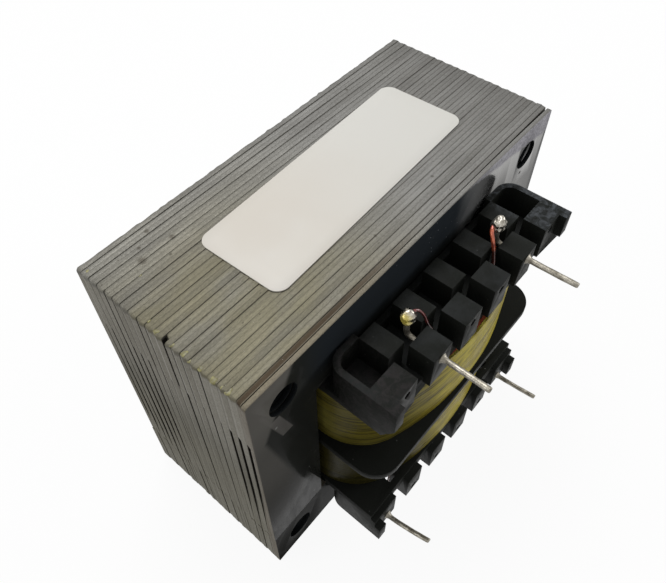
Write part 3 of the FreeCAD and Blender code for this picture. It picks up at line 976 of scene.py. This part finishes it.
        def place(co: Vector) -> Vector:
            """Where a point of the sheet ends up."""
            x, z = co.x / MM, co.z / MM
            back = co.y / MM > THICK / 2
            out = y + bow * noise.noise(Vector((x * 0.13, phase, 0)))
            if ragged and back and z > HEIGHT - 0.1:
                out += ragged * abs(noise.noise(Vector((x * 1.3, 2.2, 0))))
                out += 0.06 * noise.noise(Vector((x * 4.1, 5, 0)))
            along = x + shift_x + (nick if x < 0.5 - WIDTH / 2 else 0.0)
            if x < self.leg - WIDTH / 2 + 0.05:
                along += lean * math.sqrt(max(0.0, z - self.leg) / (HEIGHT - 2 * self.leg))
            if (back == (turn is None)) == (x < 0):
                end = max(0.0, (abs(x) - WIDTH / 2 + self.taper_length) / self.taper_length)
                along -= math.copysign(self.taper * end * min(1.0, z / 30), x)
            up = lift + self.ripple * noise.noise(Vector((x * 0.3, phase + 9, 0)))
            up = up if z > HEIGHT / 2 else abs(up) * 0.5
            return mm(along, co.y / MM + out, min(max(z + up, 0.0), HEIGHT + self.headroom))

        sheet.reshape(place)
        self.finish(sheet, node)

    def lay_front(self, pressed: Workpiece, turn: Matrix, y: float) -> None:
        """The front sheet, whose right-hand end curls forwards."""
        sheet = pressed.copy("front_sheet")
        sheet.obj.data.transform(turn)
        sheet.slices(WIDTH / 2 - k for k in range(1, int(self.curl_length)))

        def place(co: Vector) -> Vector:
            """Where a point of the front sheet ends up."""
            x = co.x / MM
            worn = self.ripple * noise.noise(Vector((x * 0.8, 3.1, 0))) if co.z / MM > HEIGHT - 0.2 else 0.0
            thin = self.swollen - THICK if co.y / MM > THICK / 2 else 0.0
            out = self.curl(x) + self.front_out
            return mm(x - 0.7 * self.curl(x), co.y / MM - thin - out + y, co.z / MM + worn)

        sheet.reshape(place)
        self.finish(sheet, "front_lamination")

    def finish(self, sheet: Workpiece, node: str) -> None:
        """Cut edges on the rim, the rolled finish on the broad faces."""
        sheet.smooth(30).dress(Slot.STEEL, self.edges, self.face, nodes=[node],
                               second=lambda c, n: abs(n.y) > 0.9)


@dataclass
class VarnishDrops:
    """Drops of varnish along the left-hand top edge, and two more on top."""

    seed: int = 21
    shape: tuple = (1.2, 1.0, 0.34)
    on_top: float = 39.94
    at_edge: float = 39.88
    finish: Finish = Varnish()
    drops: tuple = ((-23.55, -8.6, 0.62), (-23.6, -8.0, 0.42), (-23.6, -7.0, 0.78), (-23.55, -5.4, 0.58),
                    (-23.65, -4.2, 0.46), (-23.5, -3.3, 0.66), (-23.55, -1.9, 0.6), (-23.6, 0.1, 0.72),
                    (-23.3, 1.4, 0.3), (-23.4, 9.9, 0.5), (-21.1, 6.1, 0.34), (-20.6, 5.8, 0.26))

    def build(self) -> None:
        """Sets the drops, those at the edge a little lower."""
        for k, (x, y, size) in enumerate(self.drops):
            centre = mm(x, y, self.on_top if x > -23.4 else self.at_edge)
            drop = Workpiece.ball(f"varnish_drop_{k + 1}", centre, mm(*self.shape) * size, 10)

            def lump(co: Vector) -> Vector:
                """Makes the drop uneven."""
                away = (co - centre) * (1 + 0.5 * noise.noise(co * 2400 + Vector((k, self.seed, 0))))
                return centre + Vector((max(away.x, -WIDTH / 2 * MM - centre.x), away.y, away.z))

            drop.reshape(lump).smooth(60).dress(Slot.STEEL, self.finish)


@dataclass
class Bobbin:
    """The moulded bobbin: tube, flanges, divider and the two toothed rails."""

    edge_r: float = 0.13
    end_x: float = 15.2
    eased: tuple = (((-17.6475, 31.8), (-17.96, 31.28)), ((-18.2475, 33.1), (-18.66, 32.43)))
    finish: Finish = BlackPlastic()

    def build(self) -> None:
        """Slopes the underside of the upper rail's ends, and rounds the moulding's edges."""
        body = Workpiece.of_node("bobbin", "moulded_bobbin")

        def ease(co: Vector) -> Vector:
            """Draws the inner corners of the steps out to one slope."""
            x, y, z = co / MM
            for (from_y, from_z), (to_y, to_z) in self.eased:
                if abs(abs(x) - self.end_x) + abs(y - from_y) + abs(z - from_z) < 0.02:
                    return mm(x, to_y, to_z)
            return co

        body.reshape(ease)
        body.round_edges(self.edge_r, 30).smooth(40)
        body.dress(Slot.PLASTIC, self.finish, nodes=["bobbin"])


@dataclass
class TapedCoil:
    """A coil wrapped in tape: wraps of slightly different width lie over each other.

    Args:
        name: The coil's name, which its nodes begin with.
        low: Lower end of the chamber.
        high: Upper end of the chamber.
        wraps: How many wraps show.
        edge_step: How much higher each wrap's lower edge starts at the left.
        seed: Where the wraps' unevenness starts.
    """

    name: str
    low: float
    high: float
    wraps: int
    edge_step: float
    seed: int
    lift: float = 0.05
    row: float = 0.7
    ragged: float = 0.12
    finish: Finish = YellowTape()
    copper: Finish = Enamel("wound_copper", (0.5, 0.12, 0.05), turns_per_mm=2.2)

    def build(self) -> None:
        """Wraps the tape, and gives the winding under it its finish."""
        for k in range(self.wraps):
            self.wrap(k)
        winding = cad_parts[f"{self.name}_winding"]
        winding.data.materials.clear()
        winding.data.materials.append(self.copper.material())

    def wrap(self, k: int) -> None:
        """One wrap: the node's outer wall, trimmed, set out by the wraps under it and thickened."""
        shell = Workpiece.of_node(f"{self.name}_tape", f"{self.name}_tape_wrap_{k + 1}")
        shell.remove(lambda c, n: abs(n.z) > 0.5 or n.x * c.x + n.y * c.y < 0)
        rows = int((self.high - self.low) / self.row)
        shell.slices((self.low + r * (self.high - self.low) / rows for r in range(1, rows)), (0, 0, 1))
        seed, inset = self.seed + 7 * k, (self.wraps - k) * self.lift
        bottom = min(v.co.z for v in shell.obj.data.vertices) / MM
        top = max(v.co.z for v in shell.obj.data.vertices) / MM

        def place(co: Vector) -> Vector:
            """Where a point of the wrap ends up."""
            x, y, z = co / MM
            out = Vector((x, y, 0)).normalized()
            down = (top - z) / (top - bottom)
            swell = 0.05 * noise.noise(Vector((x * 0.12, y * 0.12, z * 0.5 + seed)))
            swell += 0.025 * noise.noise(Vector((x * 0.5, y * 0.5, z * 1.4 + seed)))
            left = min(1.0, max(0.0, (9.0 - x) / 22.0))
            rise = k * self.edge_step * left * down
            if abs(z - bottom) < 0.01:
                rise += max(0.0, self.ragged * noise.noise(Vector((x * 0.9, y * 0.9, seed))))
            return mm(x + out.x * (swell - inset), y + out.y * (swell - inset), z + rise)

        shell.reshape(place)
        shell.modify("SOLIDIFY", thickness=0.8 * self.lift * MM, offset=1.0)
        shell.smooth(35).dress(Slot.TAPE, self.finish, nodes=[f"{self.name}_tape"])


@dataclass
class Terminal:
    """One connection: pin, solder and the coil's end.

    Args:
        coil: Which coil it belongs to.
        side: -1 for the left, 1 for the right.
        x: Where the pin stands.
        face: Front of its block, ahead of the core.
        wire_d: Thickness of the coil's wire.
        upside_down: Whether it is on the lower rail.
        enamel: Finish of the wire.
        solder: Finish of the solder.
    """

    coil: str
    side: int
    x: float
    face: float
    wire_d: float
    upside_down: bool
    enamel: Finish
    solder: Finish
    sway: tuple = (0.0, 0.0)
    drop_size: tuple = (1.6, 1.5, 1.85)
    pin_d: float = 0.6
    pin_z: float = 35.0
    tip_share: float = 0.72
    tip_steps: tuple = ((0.05, 1.28), (0.12, 1.085))
    run_steps: int = 16
    tip: float = 13.2
    stand: float = 3.9
    top: float = 37.75
    bend_r: float = 0.75
    flare: float = 0.6
    flare_steps: tuple = (1.04, 1.1, 1.2, 1.35)
    tinned: Finish = Tinned()

    @property
    def label(self) -> str:
        """The side's name."""
        return "left" if self.side < 0 else "right"

    def at(self, x: float, ahead: float, z: float) -> Vector:
        """A point given by its distance ahead of the core."""
        return mm(x, FRONT - ahead, HEIGHT - z if self.upside_down else z)

    def up(self) -> float:
        """Which way the upright end points: 1 on the upper rail and -1 on the lower one."""
        return -1.0 if self.upside_down else 1.0

    def build(self) -> None:
        """Makes the three pieces."""
        self.pin()
        self.lead()
        self.drop()

    def pin(self) -> None:
        """Draws the pin out from its tip, bends it up and cuts it at the top."""
        name = f"{self.coil}_pin_{self.label}"
        pin = Workpiece.disc(f"tinned_{name}", self.at(self.x, self.tip, self.pin_z),
                             self.pin_d / 2 * self.tip_share * MM, 20)
        pin.grip(Kind.FACES)
        run = self.tip - self.face - self.flare
        for step, widen in self.tip_steps:
            pin.draw_out(mm(0, step, 0), widen)
            run -= step
        for _ in range(self.run_steps):
            pin.draw_out(mm(0, run / self.run_steps, 0))
        for widen in self.flare_steps:
            pin.draw_out(mm(0, self.flare / len(self.flare_steps), 0), widen)
        pin.draw_out(mm(0, 0.01, 0), 1 / math.prod(self.flare_steps))
        rest = self.face - 0.01 - self.stand - self.bend_r
        pin.draw_out(mm(0, rest, 0))
        middle = self.at(self.x, self.stand + self.bend_r, self.pin_z) + mm(0, 0, self.bend_r * self.up())
        bpy.ops.mesh.spin(steps=7, angle=-math.pi / 2 * self.up(), center=middle, axis=(1, 0, 0))
        pin.draw_out(mm(0, 0, self.up() * (self.top - self.pin_z - self.bend_r - 0.08)))
        pin.draw_out(mm(0, 0, self.up() * 0.08), 0.7)
        pin.release().outward()
        start = FRONT - self.face - self.flare

        def coat(co: Vector) -> Vector:
            """Makes the free leg's tin uneven, and bends the leg."""
            free = (start - co.y / MM) / 4.5
            if free <= 0:
                return co
            axis = Vector((self.x, co.y / MM, HEIGHT - self.pin_z if self.upside_down else self.pin_z))
            away = (co / MM - axis) * (1 + 0.09 * noise.noise(co * 900))
            bend = Vector((self.sway[0], 0, self.sway[1])) * free ** 1.3
            return (axis + away + bend) * MM

        pin.reshape(coat).smooth(50).dress(Slot.WIRE, self.tinned, nodes=[name])

    def lead(self) -> None:
        """The coil's end, drawn as a smooth wire from the terminal into its slot."""
        name = f"{self.coil}_lead_{self.label}"
        path = ((0.3, 3.6, self.top - 0.2), (1.1, 3.65, self.top - 0.1), (1.65, 4.3, 36.95),
                (1.75, 4.75, 35.7), (2.2, 5.2, 34.6), (2.5, 5.5, 33.2), (2.5, 5.53, 30.75))
        curve = bpy.data.curves.new(name, "CURVE")
        curve.dimensions = "3D"
        curve.bevel_depth = self.wire_d / 2 * MM
        curve.bevel_resolution = 3
        curve.resolution_u = 8
        curve.use_fill_caps = True
        spline = curve.splines.new("NURBS")
        spline.points.add(len(path) - 1)
        for point, (aside, ahead, z) in zip(spline.points, path):
            point.co = (*self.at(self.x - self.side * aside, ahead, z), 1)
        spline.order_u = 3
        spline.use_endpoint_u = True
        Workpiece.linked(f"enamelled_{name}", curve).take()
        bpy.ops.object.convert(target="MESH")
        wire = Workpiece(bpy.context.active_object, f"enamelled_{name}")
        wire.grip(Kind.FACES)
        bpy.ops.mesh.remove_doubles(threshold=1e-7)
        wire.release().outward().smooth(60).dress(Slot.COPPER, self.enamel, nodes=[name])

    def drop(self) -> None:
        """The drop of solder, lumpy over the turns of wire inside it."""
        name = f"{self.coil}_solder_{self.label}"
        centre = self.at(self.x, self.stand, self.top - 0.25)
        drop = Workpiece.ball(f"melted_{name}", centre, mm(*self.drop_size), 20)

        def melt(co: Vector) -> Vector:
            """Makes the drop lumpy."""
            away = co - centre
            height = away.z / MM
            ridge = 0.06 * math.sin(height * 9.0 + math.atan2(away.y, away.x))
            lump = 0.24 * noise.noise(co * 1100 + Vector((self.side, 2, 0)))
            return centre + away * (1 + ridge * (1 - abs(height)) + lump)

        drop.reshape(melt).smooth(60).dress(Slot.SOLDER, self.solder, nodes=[name])


@dataclass
class Label:
    """The bare paper label on the top face."""

    width: float = 30.5
    depth: float = 10.3
    thick: float = 0.12
    corner_r: float = 1.3
    x: float = 0.7
    y: float = 0.2425
    turn: float = 1.9
    finish: Finish = SatinPaper()

    def build(self) -> None:
        """Cuts the label, rounds its corners and lays it on the stack."""
        half = mm(self.width / 2, self.depth / 2, 0)
        paper = Workpiece.box("paper_label", mm(-self.width / 2, -self.depth / 2, 0),
                              mm(self.width / 2, self.depth / 2, self.thick))
        paper.grip(Kind.EDGES, lambda c, n: abs(n.z) > 0.9)
        bpy.ops.mesh.bevel(offset=self.corner_r * MM, segments=10, affect="EDGES")
        paper.release()
        for size, parts, axis in ((self.width, 16, (1, 0, 0)), (self.depth, 8, (0, 1, 0))):
            paper.slices((-size / 2 + k * size / parts for k in range(1, parts)), axis)
        paper.round_edges(0.03, 50)

        def settle_down(co: Vector) -> Vector:
            """Lets the paper follow the sheets under it a little."""
            near = min(half.x - abs(co.x), half.y - abs(co.y)) / MM
            wave = -0.014 * abs(noise.noise(Vector((co.x * 90, co.y * 700, 0))))
            return co + mm(0, 0, wave if near > 0.3 and co.z > 0.5 * self.thick * MM else 0)

        paper.reshape(settle_down)
        paper.obj.data.transform(Matrix.Translation(mm(self.x, self.y, HEIGHT))
                                 @ Matrix.Rotation(math.radians(self.turn), 4, "Z"))
        paper.smooth(30).dress(Slot.PAPER, self.finish, nodes=["label"])


@dataclass
class Studio:
    """Camera, pale floor and soft lamps."""

    eye: tuple = (-37.304, -31.277, 86.399)
    right: tuple = (0.6491, -0.7606, -0.0128)
    down: tuple = (-0.5940, -0.4962, -0.6332)
    ahead: tuple = (0.4752, 0.4187, -0.7739)
    focal: float = 664.19
    frame_size: tuple = (666, 583)
    centre: tuple = (327.68, 263.29)
    sensor: float = 36.0
    floor_size: float = 4000.0
    floor_z: float = -0.02
    floor_pale: tuple = (0.86, 0.86, 0.86)
    floor_tone: tuple = (0.3, 0.3, 0.3)
    floor_glow: float = 0.93
    sky_tone: tuple = (0.97, 0.985, 1.0)
    sky: float = 0.33
    white: tuple = (1.0, 1.0, 1.0)
    target: tuple = (0, 0, 15)
    lamps: tuple = (("key", (60, 120, 300), 170, 0.62), ("left", (-260, 150, 150), 200, 0.34),
                    ("right", (240, -150, 130), 130, 0.3))

    def build(self) -> None:
        """Sets the studio up."""
        self.camera()
        self.floor()
        self.world()
        for lamp in self.lamps:
            self.lamp(*lamp)
        bpy.context.scene.view_settings.view_transform = "Standard"

    def camera(self) -> None:
        """The camera at the photograph's viewpoint."""
        data = bpy.data.cameras.new("camera")
        width, height = self.frame_size
        data.sensor_width = self.sensor
        data.lens = self.focal / width * self.sensor
        data.shift_x = (width / 2 - self.centre[0]) / width
        data.shift_y = (self.centre[1] - height / 2) / width
        data.clip_start, data.clip_end = 0.001, 10.0
        camera = bpy.data.objects.new("camera", data)
        axes = Matrix((Vector(self.right), -Vector(self.down), -Vector(self.ahead))).transposed()
        camera.matrix_world = Matrix.Translation(mm(*self.eye)) @ axes.to_quaternion().to_matrix().to_4x4()
        bpy.context.scene.collection.objects.link(camera)
        bpy.context.scene.camera = camera

    def floor(self) -> None:
        """A pale floor that keeps the soft shadow."""
        Workpiece.clear()
        bpy.ops.mesh.primitive_plane_add(size=self.floor_size * MM, location=mm(0, 0, self.floor_z))
        floor = bpy.context.active_object
        floor.name = "floor"
        material = bpy.data.materials.new("pale_floor")
        g = Graph(material)
        g.shade(self.floor_pale, 0.9, Specular_IOR_Level=0.0)
        glow = g.fill(g.add("ShaderNodeEmission"), self.white)
        plain = g.fill(g.add("ShaderNodeBsdfDiffuse"), self.floor_tone)
        shown = g.blend(self.floor_glow, Value(g, g.shader.outputs["BSDF"]), glow)
        g.feed(g.surface, g.blend(g.background(), plain, shown))
        floor.data.materials.append(material)

    def world(self) -> None:
        """Soft light all round, white behind the object."""
        world = bpy.data.worlds.new("studio")
        bpy.context.scene.world = world
        n = Nodes(world)
        soft, white = (n.fill(n.add("ShaderNodeBackground"), tone, strength)
                       for tone, strength in ((self.sky_tone, self.sky), (self.white, 1.0)))
        out = n.add("ShaderNodeOutputWorld")
        n.feed(out.inputs["Surface"], n.blend(n.background(), soft, white))

    def lamp(self, name: str, place: Sequence[float], size: float, level: float) -> None:
        """A square area lamp that faces the target.

        Args:
            name: The lamp's name.
            place: Where it hangs.
            size: Side of its square.
            level: Light on a white sheet facing it at the target, where 1 renders as white.
        """
        data = bpy.data.lights.new(name, "AREA")
        data.size = size * MM
        away = mm(*place) - mm(*self.target)
        data.energy = level * math.pi ** 2 * away.length_squared
        lamp = bpy.data.objects.new(name, data)
        lamp.location = mm(*place)
        lamp.rotation_mode = "QUATERNION"
        lamp.rotation_quaternion = away.to_track_quat("Z", "Y")
        bpy.context.scene.collection.objects.link(lamp)


def terminals() -> list[Terminal]:
    """The four connections."""
    orange = Enamel(shaded_below=36.0)
    brown = Enamel("dark_red_enamel", (0.2, 0.035, 0.03), (0.07, 0.012, 0.012), shaded_below=36.0)
    amber = Enamel("amber_enamel", (0.42, 0.14, 0.05), (0.18, 0.05, 0.02))
    plain = ShinySolder("shiny_solder_right", flux_at=(7.5, -14.65, 36.7), flux_radius=0.7)
    # The left drop's bright yellow flux also stands for its yellow highlight: partly flux, partly painted
    # highlight.
    flux_and_glint = ShinySolder("shiny_solder_left", (0.75, 0.6, 0.07), (-8.1, -14.4, 37.8), 1.0)
    lower = ShinySolder("shiny_solder_lower", flux_at=(0.0, -14.65, 3.0), flux_radius=0.5)
    return [Terminal("secondary", -1, -7.5, 7.7, 0.3, False, brown, flux_and_glint, (-0.45, 0.75), tip=12.85,
                     stand=3.65, top=37.95),
            Terminal("secondary", 1, 7.5, 7.7, 0.42, False, orange, plain, (0.1, 0.05)),
            Terminal("primary", -1, -12.5, 7.5, 0.22, True, amber, lower, (0.4, 0.65)),
            Terminal("primary", 1, 12.5, 7.5, 0.22, True, amber, lower, (0.1, 0.3))]


def main() -> None:
    """Builds the transformer's pieces in order, and then the studio."""
    coils = [TapedCoil("secondary", 20.6, 30.7, 5, 0.75, 11), TapedCoil("primary", 9.3, 19.4, 3, 0.5, 31)]
    for piece in (SheetStack(), VarnishDrops(), Bobbin(), *coils, *terminals(), Label(), Studio()):
        piece.build()
    Workpiece.clear()


if __name__ == "__main__":
    logging.basicConfig(level=logging.INFO, format="%(name)s: %(message)s")
    main()
